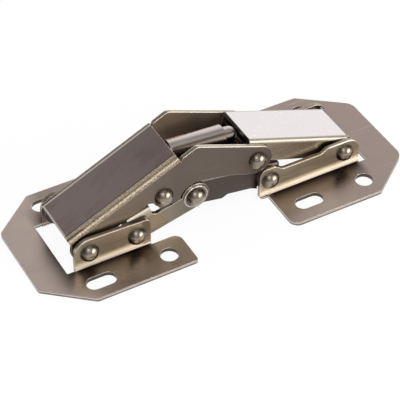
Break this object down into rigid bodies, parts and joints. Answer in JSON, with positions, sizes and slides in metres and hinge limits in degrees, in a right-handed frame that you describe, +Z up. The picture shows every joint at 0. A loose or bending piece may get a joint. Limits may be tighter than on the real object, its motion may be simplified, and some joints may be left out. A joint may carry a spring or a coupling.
{
  "type": "surface mounted spring cabinet hinge",
  "caption": "Surface mounted spring hinge for a cabinet door, shown open: slotted steel plates joined by folded sheet arms, riveted links and a spring plunger",
  "frame": {"origin": "middle of the whole hinge in plan, on the mounting face under the plates", "axes": "+X from the cabinet plate to the door plate, +Y along the pins, +Z up away from the mounting face"},
  "size_m": [0.1128, 0.0458, 0.0271],
  "materials": {
    "plate_steel": "satin nickel plate",
    "arm_steel": "satin nickel plate, fine scratches",
    "link_steel": "satin nickel plate",
    "rivet_steel": "polished nickel plate",
    "washer_steel": "satin nickel plate",
    "plunger_steel": "smooth nickel plate",
    "spring_steel": "bare spring wire"
  },
  "bodies": {
    "cabinet": {"cabinet_plate": "plate_steel", "a1_rivet": "rivet_steel", "a2_rivet": "rivet_steel", "a1_washer_front": "washer_steel", "a1_washer_back": "washer_steel", "a2_washer_front": "washer_steel", "a2_washer_back": "washer_steel"},
    "arm": {"main_arm": "arm_steel", "m_rivet": "rivet_steel", "c_rivet": "rivet_steel", "plunger_tube": "plunger_steel", "tube_seat_pin": "plunger_steel", "plunger_spring": "spring_steel"},
    "rear": {"rear_link": "link_steel", "n_rivet": "rivet_steel", "n_collar_front": "washer_steel", "n_collar_back": "washer_steel"},
    "front": {"front_link": "link_steel"},
    "short": {"short_arm": "arm_steel"},
    "door": {"door_plate": "plate_steel", "b1_rivet": "rivet_steel", "b2_rivet": "rivet_steel", "b1_washer_front": "washer_steel", "b1_washer_back": "washer_steel", "b2_washer_front": "washer_steel", "b2_washer_back": "washer_steel"},
    "piston": {"plunger_piston": "plunger_steel"}
  },
  "joints": [
    {"name": "fold", "type": "hinge", "parent": "cabinet", "child": "arm", "pos_m": [-0.0406, 0, 0.00613], "axis": [0, -1, 0], "range_deg": [0, 74.9]},
    {"name": "rear_link_swing", "type": "hinge", "parent": "cabinet", "child": "rear", "pos_m": [-0.02665, 0, 0.00569], "axis": [0, -1, 0], "range_deg": [0, 96.5]},
    {"name": "front_link_swing", "type": "hinge", "parent": "arm", "child": "front", "pos_m": [-0.01753, 0, 0.0142], "axis": [0, 1, 0], "range_deg": [0, 86.5]},
    {"name": "short_arm_swing", "type": "hinge", "parent": "arm", "child": "short", "pos_m": [0.0111, 0, 0.0149], "axis": [0, 1, 0], "range_deg": [0, 93.1]},
    {"name": "door_swing", "type": "hinge", "parent": "short", "child": "door", "pos_m": [0.03913, 0, 0.00644], "axis": [0, -1, 0], "range_deg": [0, 108.2]},
    {"name": "plunger_travel", "type": "slide", "parent": "arm", "child": "piston", "axis": [0.9962, 0, -0.0872], "range_m": [0, 0.002], "deforming": ["plunger_spring"]}
  ],
  "couplings": [
    {"joint": "rear_link_swing", "follows": "fold", "ratio": 1.2884},
    {"joint": "front_link_swing", "follows": "fold", "ratio": 1.1549},
    {"joint": "short_arm_swing", "follows": "fold", "ratio": 1.243},
    {"joint": "door_swing", "follows": "fold", "ratio": 1.4446},
    {"joint": "plunger_travel", "follows": "fold", "m_per_rad": 0.00153}
  ]
}
